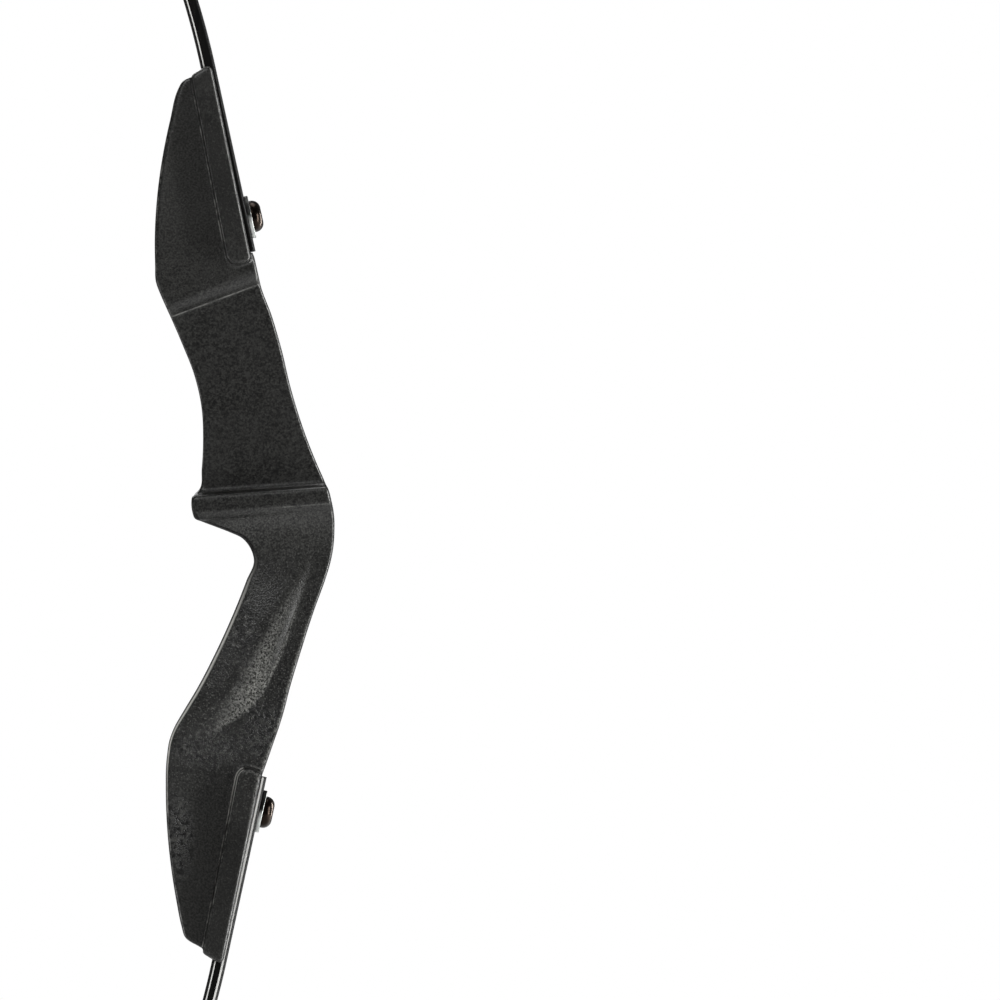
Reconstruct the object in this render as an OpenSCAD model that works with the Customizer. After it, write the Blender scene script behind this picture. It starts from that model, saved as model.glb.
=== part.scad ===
// Ambidextrous take-down recurve bow: a moulded riser and two laminated limbs, each held by one bolt.
// Origin: deepest point of the grip's throat. +Z runs up the bow, +X points at the target.

/* [Grip and throat] */
// Depth of the riser at the throat, archer side to target side
throat_depth = 33.8; // [30:0.2:38]
// Width of the flat strip down the target side of the grip
strip_w = 18.6; // [16:0.2:20]
// How far the palm swell stands out on each side
swell_out = 4.6; // [2:0.1:6]
// Rounding of the grip's archer-side edges
grip_round = 4; // [2:0.5:6]

/* [Arrow shelf] */
// Height of the shelf's top above the throat, measured at its archer end
shelf_h = 28.4; // [26:0.2:32]
// Width of the shelf across both sides
shelf_w = 34.4; // [30:0.2:40]
// Height of the shelf's upright side
shelf_side = 7.2; // [5:0.2:9]
// How far the shelf's nose reaches behind the throat
shelf_nose = 27.3; // [25:0.2:30]
// Fillet between the shelf and the sight window's web
shelf_fillet = 3; // [1:0.2:4]

/* [Sight window] */
// Thickness of the web above the shelf
web_t = 9.6; // [8:0.2:14]
// Narrowest depth of the web, archer side to target side
web_depth = 43.9; // [40:0.2:48]

/* [Riser ends] */
// Thickness of the fins behind the limb pockets
fin_t = 19; // [16:0.2:24]
// Depth of a fin below the limb's back at its butt
fin_depth = 44.8; // [40:0.2:50]
// Angle by which a fin's edge closes on the limb
fin_taper = 9.1; // [8:0.1:10]
// Radius of the upper fin's long curved edge
upper_fin_curve = 200; // [180:1:240]
// Radius of the lower fin's long curved edge
lower_fin_curve = 238; // [200:1:260]

/* [Limb pockets] */
// Angle of each limb to the bow's long axis
limb_angle = 12.25; // [11:0.05:13.5]
// Distance in front of the throat at which the two limb lines cross
cross_x = 28.1; // [26:0.1:30]
// Height above the throat at which the two limb lines cross
cross_z = 8.8; // [7:0.1:11]
// Distance from the crossing to the upper limb's butt
upper_butt = 130.2; // [128:0.1:134]
// Distance from the crossing to the lower limb's butt
lower_butt = 107; // [105:0.1:110]
// Length of limb that lies in a pocket
pocket_len = 83; // [80:0.5:86]
// Outer width of a pocket
pocket_w = 38.2; // [36.6:0.2:42]
// Depth of a pocket's band behind the limb's back, at the butt
band_butt = 12.8; // [11.5:0.1:15]
// Depth of a pocket's band behind the limb's back, at the riser's end
band_tip = 11; // [10:0.1:12.4]
// How far the limb stands proud of the walls at the butt
proud_butt = 2.2; // [1:0.1:3]
// How far the limb stands proud of the walls at the riser's end
proud_tip = 1.2; // [0.6:0.1:2]
// Play between the limb and each pocket wall
limb_play = 1; // [0.5:0.1:1.4]
// Gap between the limb's butt and the pocket's end wall
butt_gap = 0.6; // [0.3:0.1:1]

/* [Limbs] */
// Width of a limb from its butt to the fade-out
limb_w = 28.8; // [26:0.2:32]
// Thickness of a limb in its pocket
limb_t = 6.2; // [5:0.1:7.5]
// Thickness of a limb where the recurve starts
recurve_t = 4.4; // [3.6:0.1:5]
// Thickness of each glass layer
glass_t = 0.9; // [0.6:0.05:1.2]
// Length of the stiff fade-out past the riser
fade_len = 90; // [70:1:110]
// Bend radius of the fade-out of the braced limb
fade_r = 360; // [300:5:500]
// Length of the working stretch
work_len = 160; // [130:1:190]
// Bend radius of the working stretch
work_r = 750; // [600:10:1200]
// Length of the straight stretch before the recurve
straight_len = 26; // [10:1:50]
// Bend radius of the recurve
recurve_r = 170; // [140:2:220]
// Angle through which the recurve turns back
recurve_turn = 47; // [35:1:55]
// Length of the straight tip
tip_len = 50; // [40:1:70]
// Width of a limb where the recurve starts
recurve_w = 21; // [18:0.5:26]
// Width of a limb's tip
tip_w = 12.5; // [11:0.5:16]
// Thickness of the overlay on a tip's back
overlay_t = 2.4; // [1.5:0.1:4]
// Length of the overlay
overlay_len = 38; // [30:1:48]
// Diameter of a string nock
nock_d = 3.6; // [3:0.2:4.4]
// Distance from the limb's end to its string nock
nock_from_end = 15; // [12:0.5:20]

/* [Fasteners] */
// Diameter of the limb bolt
bolt_d = 7.9; // [6:0.1:9.9]
// Length of the bolt below its head
bolt_len = 28; // [22:1:32]
// Travel of the bolt in one turn
bolt_pitch = 1.25; // [1:0.05:1.5]
// Distance from the limb's butt to the bolt's axis
bolt_from_butt = 15; // [12:0.5:20]
// Diameter of the button head
head_d = 14; // [12:0.2:16]
// Height of the button head
head_h = 4.4; // [3.6:0.1:5.5]
// Width across flats of the hex socket
socket_af = 5; // [4:0.5:6]
// Depth of the hex socket
socket_depth = 2.8; // [2:0.1:3.2]
// Outer diameter of the washer
washer_d = 18.8; // [16:0.2:22]
// Thickness of the washer
washer_t = 1.8; // [1.2:0.1:2.4]
// Outer diameter of the threaded insert
insert_d = 12; // [11:0.2:14]
// Length of the threaded insert
insert_len = 15; // [12:0.5:18]
// Radial clearance between bolt and insert
thread_play = 0.05; // [0.02:0.01:0.1]
// Radial clearance between bolt, washer and limb
hole_play = 0.35; // [0.2:0.05:0.5]

/* [Hidden] */
$fn = 64;

strip_h = strip_w / 2;
fin_h = fin_t / 2;
web_h = web_t / 2;
shelf_hw = shelf_w / 2;
// The sight window's archer edge lies this far behind the throat
web_back = web_depth - 22;

black_nylon = [0.13, 0.13, 0.13];
black_glass = [0.06, 0.06, 0.06];
core_wood = [0.2, 0.17, 0.14];
dark_steel = [0.3, 0.28, 0.26];
zinc = [0.8, 0.8, 0.8];
brass = [0.75, 0.6, 0.3];

// Frames along the limbs: local +Z runs out along the limb, local +X is the normal of its back

module upper_frame() {
    translate([cross_x, 0, cross_z]) rotate([0, -limb_angle, 0]) translate([0, 0, upper_butt]) children();
}

module lower_frame() {
    translate([cross_x, 0, cross_z]) mirror([0, 0, 1]) rotate([0, -limb_angle, 0])
        translate([0, 0, lower_butt]) children();
}

// The same frames for points [normal, along the limb from its butt], as [x, z]
function leaned(n, u) = let (c = cos(limb_angle), s = sin(limb_angle)) [n * c - u * s, n * s + u * c];
function on_upper(n, s) = [cross_x, cross_z] + leaned(n, upper_butt + s);
function on_lower(n, s) = let (p = leaned(n, lower_butt + s)) [cross_x + p.x, cross_z - p.y];

// Riser: a loft through sections that run from the archer edge to the target edge

// A fin's long edge is an arc that closes on the limb
function fin_edge(s, curve) = -fin_depth + s * tan(fin_taper) + s * s / (2 * curve);
// Where its sections lie along a pocket of the length in stops_for: archer edge, target edge
stops_for = 83;
upper_stops = [[3, 6], [14, 16], [31, 33], [48, 50], [64, 66], [77, 79]];
lower_stops = [[3, 6], [14, 16], [31, 33], [48, 50], [62, 65], [71.5, 78]];
// Its outer end is cut off at a slant: normal, and distance from the pocket's end at both edges
upper_corner = [[-15.6, -3.7, -1.6], [-11, -2.4, -1]];
lower_corner = [[-20.1, -7.1, -2.4], [-12.7, -4.2, -1.2]];
inside_band = -(proud_butt + 0.6);

// One section: archer point, target point, then half thickness, swell, crease, archer and target rounding,
// and where between the crease and the archer edge the swell stands out most
function section(a, b, h, swell = 0, crease = 0.5, ra = 2.5, rb = 1, peak = 0.36) =
    [a, b, [h, swell, crease, ra, rb, peak]];

function fin_section(on, curve, stop) = let (s = stop * pocket_len / stops_for)
    section(on(fin_edge(s[0], curve), s[0]), on(inside_band, s[1]), fin_h);
function end_section(on, c) =
    section(on(c[0], pocket_len + c[1]), on(inside_band, pocket_len + c[2]), fin_h, ra = 2);
up = function(n, s) on_upper(n, s);
down = function(n, s) on_lower(n, s);

// The block above the sight window rounds off to the crease where the web starts
crease_a = on_upper(-42.5, -20.7);
crease_b = on_upper(-0.9, -14.8);
block_a = on_upper(-43.9, -14);
block_b = on_upper(-1, -6.1);
block_turn = 60;
function block_section(turn) = let (part = sin(turn) / sin(block_turn)) section(
    block_a + (crease_a - block_a) * part,
    block_b + (crease_b - block_b) * part,
    fin_h - (fin_h - web_h) * (1 - cos(turn)) / (1 - cos(block_turn)), ra = 2
);
// The shelf's top line rises towards the target
shelf_rise = 4.1;
shelf_a = [-shelf_nose + 0.9, shelf_h];
shelf_b = [throat_depth - 1.8, shelf_h + shelf_rise];
shelf_line = (shelf_b - shelf_a) / norm(shelf_b - shelf_a);
web_end_a = [-web_back - 2.2, shelf_h + shelf_fillet - 0.4];
web_end_b = [throat_depth - 2.9, shelf_h + shelf_rise + shelf_fillet - 0.6];

// A section of the web: how far down it lies at each edge, and how far that edge bows forward there
web_round = 1.4;
function web_section(part_a, bow_a, part_b, bow_b) = section(
    crease_a + (web_end_a - crease_a) * part_a + [bow_a, 0],
    crease_b + (web_end_b - crease_b) * part_b + [bow_b, 0],
    web_h, ra = web_round
);

// A section of the grip, by its target point from the throat's and its part of the palm swell
function grip_section(a, b, swell, crease, peak) =
    section(a, b + [throat_depth, 0], strip_h, swell * swell_out, crease, grip_round, peak = peak);

sections = concat(
    [for (k = [1, 0]) end_section(up, upper_corner[k])],
    [for (k = [5 : -1 : 0]) fin_section(up, upper_fin_curve, upper_stops[k])],
    [
        section(on_upper(-45.5, -4), on_upper(-1, -3.2), fin_h),
        section(on_upper(-44.7, -10), on_upper(-1, -4.9), fin_h, ra = 2),
        block_section(0),
        block_section(18),
        block_section(34),
        block_section(48),
        web_section(0, 0, 0, 0),
        web_section(0.16, 3.2, 0.16, 0.5),
        web_section(0.33, 6.1, 0.33, 0),
        web_section(0.52, 7, 0.53, -1.5),
        web_section(0.72, 5.2, 0.74, -1.8),
        web_section(0.88, 2.6, 0.92, -0.8),
        web_section(1, 0, 1, 0),
        section(shelf_a + [0.6, shelf_fillet * 0.3], shelf_b + [-0.5, shelf_fillet * 0.3],
            web_h + shelf_fillet * 0.3, ra = web_round),
        section(shelf_a, shelf_b, web_h + shelf_fillet, ra = 2),
        section(shelf_a - shelf_line * 0.1, shelf_b + shelf_line * 0.1, shelf_hw - 1.6, ra = 2),
        section(shelf_a + [-0.7, -0.6], shelf_b + [0.3, -0.6], shelf_hw - 0.5, ra = 2),
        section(shelf_a + [-0.9, -1.8], shelf_b + [0.7, -1.7], shelf_hw, ra = 2),
        section(shelf_a + [-0.4, -shelf_side - 0.6], shelf_b + [2.1, -shelf_side], shelf_hw, ra = 2),
        section([-26, 18.3], [throat_depth + 0.7, 23.6], shelf_hw - 1.7, 0, 0.6, 2.4),
        section([-23, 17], [throat_depth + 1.1, 21.3], shelf_hw - 3.9, 0, 0.77, 3),
        section([-16.5, 14.5], [throat_depth + 1.5, 17], strip_h + 2, 0.2, 0.77, 3.5),
        section([-10.1, 12], [throat_depth + 1.5, 13.4], strip_h + 1, 0.4, 0.77, grip_round),
        section([-5, 9.5], [throat_depth + 1.4, 9.9], strip_h + 0.4, 0.6, 0.77, grip_round),
        section([-2, 6], [throat_depth + 1.1, 6.3], strip_h + 0.1, 0.8, 0.77, grip_round),
        section([-0.6, 2.9], [throat_depth + 0.6, 3], strip_h, 0.9, 0.77, grip_round),
        section([0, 0], [throat_depth, 0], strip_h, 1, 0.77, grip_round, peak = 0.32),
        grip_section([-3.2, -8.8], [-2.6, -8.8], 0.36, 0.77, 0.34),
        grip_section([-8.4, -22], [-7.4, -22], 0.78, 0.775, 0.42),
        grip_section([-16.5, -40], [-13.2, -40], 1, 0.777, 0.52),
        grip_section([-25.3, -57], [-18.3, -57], 0.84, 0.73, 0.62),
        grip_section([-30.7, -66], [-20.6, -66], 0.5, 0.66, 0.66),
        section([-35.4, -74.4], [throat_depth - 23.3, -74.8], strip_h + 0.1, 0.12 * swell_out, 0.42, 3),
        section(on_lower(-45.1, -6.5), on_lower(-0.1, -16.6), fin_h - 0.1, 0, 0.3, 2.5, 1),
        section(on_lower(-44.8, -1.5), on_lower(-1.2, -7.5), fin_h)
    ],
    [for (stop = lower_stops) fin_section(down, lower_fin_curve, stop)],
    [for (c = lower_corner) end_section(down, c)]
);

// A smooth curve through points that aren't evenly spaced
function gap(p, i) = norm(p[i + 1] - p[i]);
function heading(p, i) =
    i == 0 ? (p[1] - p[0]) / gap(p, 0)
    : i == len(p) - 1 ? (p[i] - p[i - 1]) / gap(p, i - 1)
    : ((p[i + 1] - p[i]) / gap(p, i) * gap(p, i - 1) + (p[i] - p[i - 1]) / gap(p, i - 1) * gap(p, i))
        / (gap(p, i) + gap(p, i - 1));
function between(p, i, t) = let (l = gap(p, i))
    p[i] * (1 + 2 * t) * (1 - t) * (1 - t) + p[i + 1] * t * t * (3 - 2 * t)
    + heading(p, i) * l * t * (1 - t) * (1 - t) - heading(p, i + 1) * l * t * t * (1 - t);

archer_points = [for (s = sections) s[0]];
target_points = [for (s = sections) s[1]];
// Sections are filled in until they lie at most this far apart
ring_step = 4.6;
function steps_in(i) = max(1, ceil(max(gap(archer_points, i), gap(target_points, i)) / ring_step));
filled = concat(
    [
        for (i = [0 : len(sections) - 2], k = [0 : steps_in(i) - 1])
            let (t = k / steps_in(i))
                [between(archer_points, i, t), between(target_points, i, t),
                    sections[i][2] * (1 - t) + sections[i + 1][2] * t]
    ],
    [sections[len(sections) - 1]]
);

// Palm swell across the section: it rises from the crease, then eases off to the archer edge
swell_left = 0.5;
function swell_shape(u, peak) = u < peak
    ? 1 - pow(1 - u / peak, 2)
    : 1 - swell_left * pow((u - peak) / (1 - peak), 2);
swell_stops = [0.93, 0.78, 0.6, 0.42, 0.28, 0.16, 0.06];

// One side of a section, from the archer edge to the target edge, as [part of the depth, half thickness]
function half_ring(depth, law) = let (
    h = law[0], crease = law[2], ra = min(law[3], h - 1), rb = law[4],
    peak = law[5], edge_h = h + law[1] * swell_shape(0.97, peak)
) concat(
    [for (a = [0, 30, 60]) [ra * (1 - cos(a)) / depth, edge_h - ra * (1 - sin(a))]],
    [
        for (u = swell_stops)
            [ra / depth + (crease - ra / depth) * (1 - u), h + law[1] * swell_shape(u, peak)]
    ],
    [[crease, h], [1 - rb / depth, h]],
    [for (a = [60, 30, 0]) [1 - rb * (1 - cos(a)) / depth, h - rb * (1 - sin(a))]]
);

function ring(s) = let (
    a = s[0], b = s[1], side = half_ring(norm(b - a), s[2]), n = len(side),
    place = function(t, y) [a.x + (b.x - a.x) * t, y, a.y + (b.y - a.y) * t]
) concat(
    [for (p = side) place(p[0], p[1])],
    [for (i = [n - 1 : -1 : 0]) place(side[i][0], -side[i][1])]
);

module loft(rings) {
    n = len(rings[0]);
    last = len(rings) - 1;
    polyhedron(
        points = [for (r = rings, p = r) p],
        faces = concat(
            [[for (k = [0 : n - 1]) k]],
            [
                for (i = [0 : last - 1], k = [0 : n - 1], half = [0, 1])
                    let (a = i * n + k, b = i * n + (k + 1) % n)
                        half == 0 ? [a, a + n, b] : [b, a + n, b + n]
            ],
            [[for (k = [n - 1 : -1 : 0]) last * n + k]]
        )
    );
}

// Pocket: a band that stands out on both sides of the fin, with the limb's channel cut into it

// Rounds each corner [x, y, radius] of an outline
function rounded(corners, steps = 5) = [
    for (i = [0 : len(corners) - 1])
        let (
            n = len(corners), c = corners[i], p = [c[0], c[1]],
            before = [corners[(i + n - 1) % n][0], corners[(i + n - 1) % n][1]] - p,
            after = [corners[(i + 1) % n][0], corners[(i + 1) % n][1]] - p,
            e = before / norm(before), f = after / norm(after),
            half = acos(e * f) / 2, mid = (e + f) / norm(e + f), centre = p + mid * c[2] / sin(half),
            first = p + e * c[2] / tan(half) - centre, final = p + f * c[2] / tan(half) - centre,
            turn = acos(max(-1, min(1, first * final / (c[2] * c[2])))),
            way = (first.x * final.y - first.y * final.x) > 0 ? 1 : -1
        )
            for (k = [0 : steps])
                let (g = way * turn * k / steps)
                    centre + [first.x * cos(g) - first.y * sin(g), first.x * sin(g) + first.y * cos(g)]
];

band_edge = 1.6;
// Where each band starts behind its limb's butt
upper_start = -5.4;
lower_start = -3.6;
// How far its front corner lies past the pocket's length, and its back corner short of it
band_lean = 1.4;
band_back = 2;
band_round = 5;
channel_w = limb_w + 2 * limb_play;

function band_outline(start, inset) = rounded([
    [-band_butt + inset, start + inset * 0.8, band_round - inset],
    [-proud_butt - inset, start + 1.6 + inset, 1.9 - inset],
    [-proud_tip - inset, pocket_len + band_lean - inset, 2.2 - inset],
    [-band_tip + inset, pocket_len - band_back - inset * 1.1, 1.9 - inset]
]);

module band(start) {
    hull() {
        rotate([90, 0, 0]) linear_extrude(pocket_w - 2 * band_edge, center = true)
            polygon(band_outline(start, 0));
        rotate([90, 0, 0]) linear_extrude(pocket_w, center = true) polygon(band_outline(start, band_edge));
    }
    band_cove(start);
}

// A cove between the fin and the band's butt end and back edge, in two slopes
cove = 1.8;
function cove_outline(start, grow) = rounded([
    [-band_butt - grow, start - grow, band_round],
    [-proud_butt - 0.5, start + 1.6 - grow, 1],
    [-proud_tip - 0.5, pocket_len + band_lean - 0.7, 1],
    [-band_tip - grow, pocket_len - band_back - 2 - grow, 1]
]);

module band_cove(start) {
    slopes = [[0, cove], [cove * 0.3, cove * 0.3], [cove, 0]];
    for (k = [0, 1])
        hull() {
            for (p = [slopes[k], slopes[k + 1]])
                rotate([90, 0, 0]) linear_extrude(2 * (fin_h + p[0]), center = true)
                    polygon(cove_outline(start, p[1]));
        }
}

module limb_channel() {
    translate([-limb_t, -channel_w / 2, -butt_gap]) cube([limb_t + 30, channel_w, pocket_len + 30]);
}

insert_below_floor = 0.4;

module bolt_hole() {
    translate([0, 0, bolt_from_butt]) rotate([0, 90, 0]) {
        translate([0, 0, -limb_t - insert_below_floor - insert_len])
            cylinder(d = insert_d, h = insert_len + insert_below_floor + 1);
        translate([0, 0, -limb_t - insert_below_floor - insert_len - 6])
            cylinder(d = bolt_d + 1.4, h = 8);
    }
}

module riser() {
    color(black_nylon) difference() {
        union() {
            loft([for (s = filled) ring(s)]);
            upper_frame() band(upper_start);
            lower_frame() band(lower_start);
        }
        upper_frame() limb_channel();
        lower_frame() limb_channel();
        upper_frame() bolt_hole();
        lower_frame() bolt_hole();
    }
}

// Threaded insert, moulded into the riser under each pocket's floor

module threaded_insert() {
    color(brass) translate([-limb_t - insert_below_floor, 0, bolt_from_butt]) rotate([0, -90, 0])
        difference() {
            cylinder(d = insert_d, h = insert_len);
            translate([0, 0, -1]) cylinder(d = bolt_d + 2 * thread_play, h = insert_len + 2);
        }
}

module upper_threaded_insert() upper_frame() threaded_insert();
module lower_threaded_insert() lower_frame() threaded_insert();

// Limb: the path of its back as [normal, along], with the angle at which it leans towards the archer

bends = [
    [fade_len, fade_len / fade_r],
    [work_len, work_len / work_r],
    [straight_len, 0],
    [recurve_r * recurve_turn * PI / 180, -recurve_turn * PI / 180],
    [tip_len, 0]
];
free_len = bends[0][0] + bends[1][0] + bends[2][0] + bends[3][0] + bends[4][0];
deg = 180 / PI;

function advance(p, d, bend) = let (k = bend[1] / bend[0], a = p[2], b = a + k * d * deg)
    abs(k) < 1e-9
    ? [p[0] - d * sin(a), p[1] + d * cos(a), a]
    : [p[0] + (cos(b) - cos(a)) / k, p[1] + (sin(b) - sin(a)) / k, b];
function path_at(d, p = [0, pocket_len, 0], i = 0) =
    i == len(bends) - 1 || d <= bends[i][0]
    ? advance(p, d, bends[i])
    : path_at(d - bends[i][0], advance(p, bends[i][0], bends[i]), i + 1);

recurve_at = bends[0][0] + bends[1][0] + bends[2][0];
// Thickness of the limb at a distance from the riser's end
function limb_t_at(d) = d < recurve_at
    ? limb_t + (recurve_t - limb_t) * d / recurve_at
    : recurve_t + 0.8 * (d - recurve_at) / (free_len - recurve_at);

limb_step = 7;
limb_stops = [for (k = [0 : ceil(free_len / limb_step)]) free_len * k / ceil(free_len / limb_step)];

// A point at a depth below the limb's back
function below(d, depth) = let (p = path_at(d)) [p[0] - depth * cos(p[2]), p[1] - depth * sin(p[2])];

module layer(top, bottom, stops = limb_stops) {
    rotate([90, 0, 0]) linear_extrude(limb_w + 2, center = true) polygon(concat(
        [for (d = stops) below(d, top(d))],
        [for (i = [len(stops) - 1 : -1 : 0]) below(stops[i], bottom(stops[i]))]
    ));
}

// The blade's outline from the front: full width over the fade-out, tapering to a rounded tip
reach = path_at(free_len)[1];
function width_at(u) = let (
    fade_end = path_at(fade_len * 0.5)[1], curve_start = path_at(recurve_at)[1]
) u < fade_end ? limb_w
    : u < curve_start ? limb_w + (recurve_w - limb_w) * (u - fade_end) / (curve_start - fade_end)
    : recurve_w + (tip_w - recurve_w) * sin(90 * (u - curve_start) / (reach - curve_start));

module blade_outline() {
    stops = [for (k = [0 : 30]) pocket_len + (reach - tip_w / 2 - pocket_len) * k / 30];
    side = [for (u = stops) [width_at(u) / 2, u]];
    polygon(concat(
        [[side[0][0], pocket_len - 3]],
        side,
        [for (a = [15 : 15 : 165]) [tip_w / 2 * cos(a), reach - tip_w / 2 + tip_w / 2 * sin(a)]],
        [for (i = [len(side) - 1 : -1 : 0]) [-side[i][0], side[i][1]]],
        [[-side[0][0], pocket_len - 3]]
    ));
}

module nocks() {
    p = path_at(free_len - nock_from_end);
    for (side = [-1, 1])
        translate([p[0], side * (tip_w / 2 + 0.4), p[1]]) rotate([0, 90 - p[2] + 25, 0])
            cylinder(d = nock_d, h = 40, center = true);
}

module shaped_blade() {
    difference() {
        intersection() {
            children();
            rotate([90, 0, 90]) linear_extrude(1000, center = true) blade_outline();
        }
        nocks();
    }
}

module limb_butt() {
    color(black_glass) difference() {
        translate([-limb_t, -limb_w / 2, 0]) cube([limb_t, limb_w, pocket_len]);
        translate([-limb_t - 1, 0, bolt_from_butt]) rotate([0, 90, 0])
            cylinder(d = bolt_d + 2 * hole_play, h = limb_t + 2);
    }
}

module limb_back_glass() {
    color(black_glass) shaped_blade() layer(function(d) 0, function(d) glass_t);
}

module limb_core() {
    color(core_wood) shaped_blade() layer(function(d) glass_t, function(d) limb_t_at(d) - glass_t);
}

module limb_belly_glass() {
    color(black_glass) shaped_blade() layer(function(d) limb_t_at(d) - glass_t, function(d) limb_t_at(d));
}

module limb_tip_overlay() {
    start = free_len - overlay_len;
    ramp = overlay_len * 0.4;
    stops = [for (k = [0 : 12]) start + overlay_len * k / 12];
    color(black_glass) shaped_blade()
        layer(function(d) -overlay_t * sin(90 * min(1, (d - start) / ramp)), function(d) 0, stops);
}

module upper_limb_butt() upper_frame() limb_butt();
module upper_limb_back_glass() upper_frame() limb_back_glass();
module upper_limb_core() upper_frame() limb_core();
module upper_limb_belly_glass() upper_frame() limb_belly_glass();
module upper_limb_tip_overlay() upper_frame() limb_tip_overlay();
module lower_limb_butt() lower_frame() limb_butt();
module lower_limb_back_glass() lower_frame() limb_back_glass();
module lower_limb_core() lower_frame() limb_core();
module lower_limb_belly_glass() lower_frame() limb_belly_glass();
module lower_limb_tip_overlay() lower_frame() limb_tip_overlay();

// Limb bolt and washer, on the limb's back

module bolt_washer() {
    color(zinc) translate([0, 0, bolt_from_butt]) rotate([0, 90, 0]) difference() {
        cylinder(d = washer_d, h = washer_t);
        translate([0, 0, -1]) cylinder(d = bolt_d + 2 * hole_play, h = washer_t + 2);
    }
}

// Button head: a dome over a short rim, turned as one profile
head_rim = 0.6;
head_top_d = head_d * 0.46;
function dome(a) = [
    (head_top_d + (head_d - head_top_d) * cos(a)) / 2,
    head_rim + (head_h - head_rim) * sin(a)
];

module limb_bolt() {
    color(dark_steel) translate([washer_t, 0, bolt_from_butt]) rotate([0, 90, 0]) difference() {
        union() {
            rotate_extrude() polygon(concat(
                [[0, 0], [head_d / 2, 0], [head_d / 2, head_rim]],
                [for (a = [15 : 15 : 90]) dome(a)],
                [[0, head_h]]
            ));
            translate([0, 0, -bolt_len]) cylinder(d = bolt_d, h = bolt_len + 0.5);
        }
        translate([0, 0, head_h - socket_depth])
            cylinder(d = socket_af / cos(30), h = socket_depth + 1, $fn = 6);
    }
}

module upper_bolt_washer() upper_frame() bolt_washer();
module lower_bolt_washer() lower_frame() bolt_washer();
module upper_limb_bolt() upper_frame() limb_bolt();
module lower_limb_bolt() lower_frame() limb_bolt();

riser();
upper_threaded_insert();
lower_threaded_insert();
upper_limb_butt();
upper_limb_back_glass();
upper_limb_core();
upper_limb_belly_glass();
upper_limb_tip_overlay();
lower_limb_butt();
lower_limb_back_glass();
lower_limb_core();
lower_limb_belly_glass();
lower_limb_tip_overlay();
upper_bolt_washer();
lower_bolt_washer();
upper_limb_bolt();
lower_limb_bolt();
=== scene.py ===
import math

import bmesh
import bpy
from mathutils import Matrix, Vector


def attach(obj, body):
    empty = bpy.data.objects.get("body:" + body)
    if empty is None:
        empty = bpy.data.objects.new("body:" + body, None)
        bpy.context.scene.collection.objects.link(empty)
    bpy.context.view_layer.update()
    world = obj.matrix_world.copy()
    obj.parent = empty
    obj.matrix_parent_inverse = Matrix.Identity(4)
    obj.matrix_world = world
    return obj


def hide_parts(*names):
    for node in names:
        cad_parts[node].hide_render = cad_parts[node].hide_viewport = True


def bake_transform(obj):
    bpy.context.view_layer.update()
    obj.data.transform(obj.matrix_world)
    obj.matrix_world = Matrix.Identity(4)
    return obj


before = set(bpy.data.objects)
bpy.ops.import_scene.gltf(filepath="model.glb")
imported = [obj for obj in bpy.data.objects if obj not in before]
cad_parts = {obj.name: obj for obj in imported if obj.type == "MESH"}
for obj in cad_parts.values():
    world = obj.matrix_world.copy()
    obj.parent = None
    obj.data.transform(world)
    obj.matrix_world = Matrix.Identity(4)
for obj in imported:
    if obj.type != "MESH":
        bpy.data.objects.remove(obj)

# Sizes as in the CAD source, in millimetres and radians
LIMB_ANGLE = math.radians(12.25)
CROSS_X, CROSS_Z = 28.1, 8.8
BUTT = {"upper": 130.2, "lower": 107.0}
UP = {"upper": 1, "lower": -1}
POCKET_LEN, POCKET_W = 83.0, 38.2
BAND_BUTT, BAND_TIP, PROUD_BUTT, PROUD_TIP = 12.8, 11.0, 2.2, 1.2
LIMB_PLAY, BUTT_GAP = 1.0, 0.6
LIMB_W, LIMB_T, RECURVE_T, TIP_GAIN, GLASS_T = 28.8, 6.2, 4.4, 0.8, 0.9
FADE_LEN, FADE_R = 90.0, 360
WORK_LEN, WORK_R = 160.0, 750
STRAIGHT_LEN, TIP_LEN = 26.0, 50.0
RECURVE_R, RECURVE_TURN = 170, math.radians(47)
RECURVE_W, TIP_W = 21.0, 12.5
OVERLAY_T, OVERLAY_LEN = 2.4, 38.0
NOCK_FROM_END, NOCK_D = 15.0, 3.6
BOLT_D, BOLT_LEN, BOLT_PITCH, BOLT_FROM_BUTT = 7.9, 28.0, 1.25, 15.0
HEAD_D, HEAD_H, SOCKET_AF, SOCKET_DEPTH = 14.0, 4.4, 5.0, 2.8
WASHER_T, WASHER_D = 1.8, 18.8
INSERT_D, INSERT_LEN, INSERT_BELOW_FLOOR = 12.0, 15.0, 0.4
HOLE_PLAY = 0.35
HOLE_D = BOLT_D + 2 * HOLE_PLAY

# Stretches of the strung limb past the riser: length and turn
BENDS = [
    (FADE_LEN, FADE_LEN / FADE_R),
    (WORK_LEN, WORK_LEN / WORK_R),
    (STRAIGHT_LEN, 0.0),
    (RECURVE_TURN * RECURVE_R, -RECURVE_TURN),
    (TIP_LEN, 0.0),
]
FREE_LEN = sum(length for length, turn in BENDS)
RECURVE_AT = FADE_LEN + WORK_LEN + STRAIGHT_LEN


def flat(end, n, s):
    """A point in side view, as (x, z): n out of the limb's back and s along it from its butt."""
    u = BUTT[end] + s
    x = CROSS_X + n * math.cos(LIMB_ANGLE) - u * math.sin(LIMB_ANGLE)
    rise = n * math.sin(LIMB_ANGLE) + u * math.cos(LIMB_ANGLE)
    return (x, CROSS_Z + UP[end] * rise)


def place(end, n, s, y=0.0):
    """The same point in the shared frame, in metres."""
    x, z = flat(end, n, s)
    return Vector((x, y, z)) / 1000


def outward(end):
    """The direction out of the limb's back."""
    return Vector((math.cos(LIMB_ANGLE), 0, UP[end] * math.sin(LIMB_ANGLE)))


# Meshes

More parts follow.
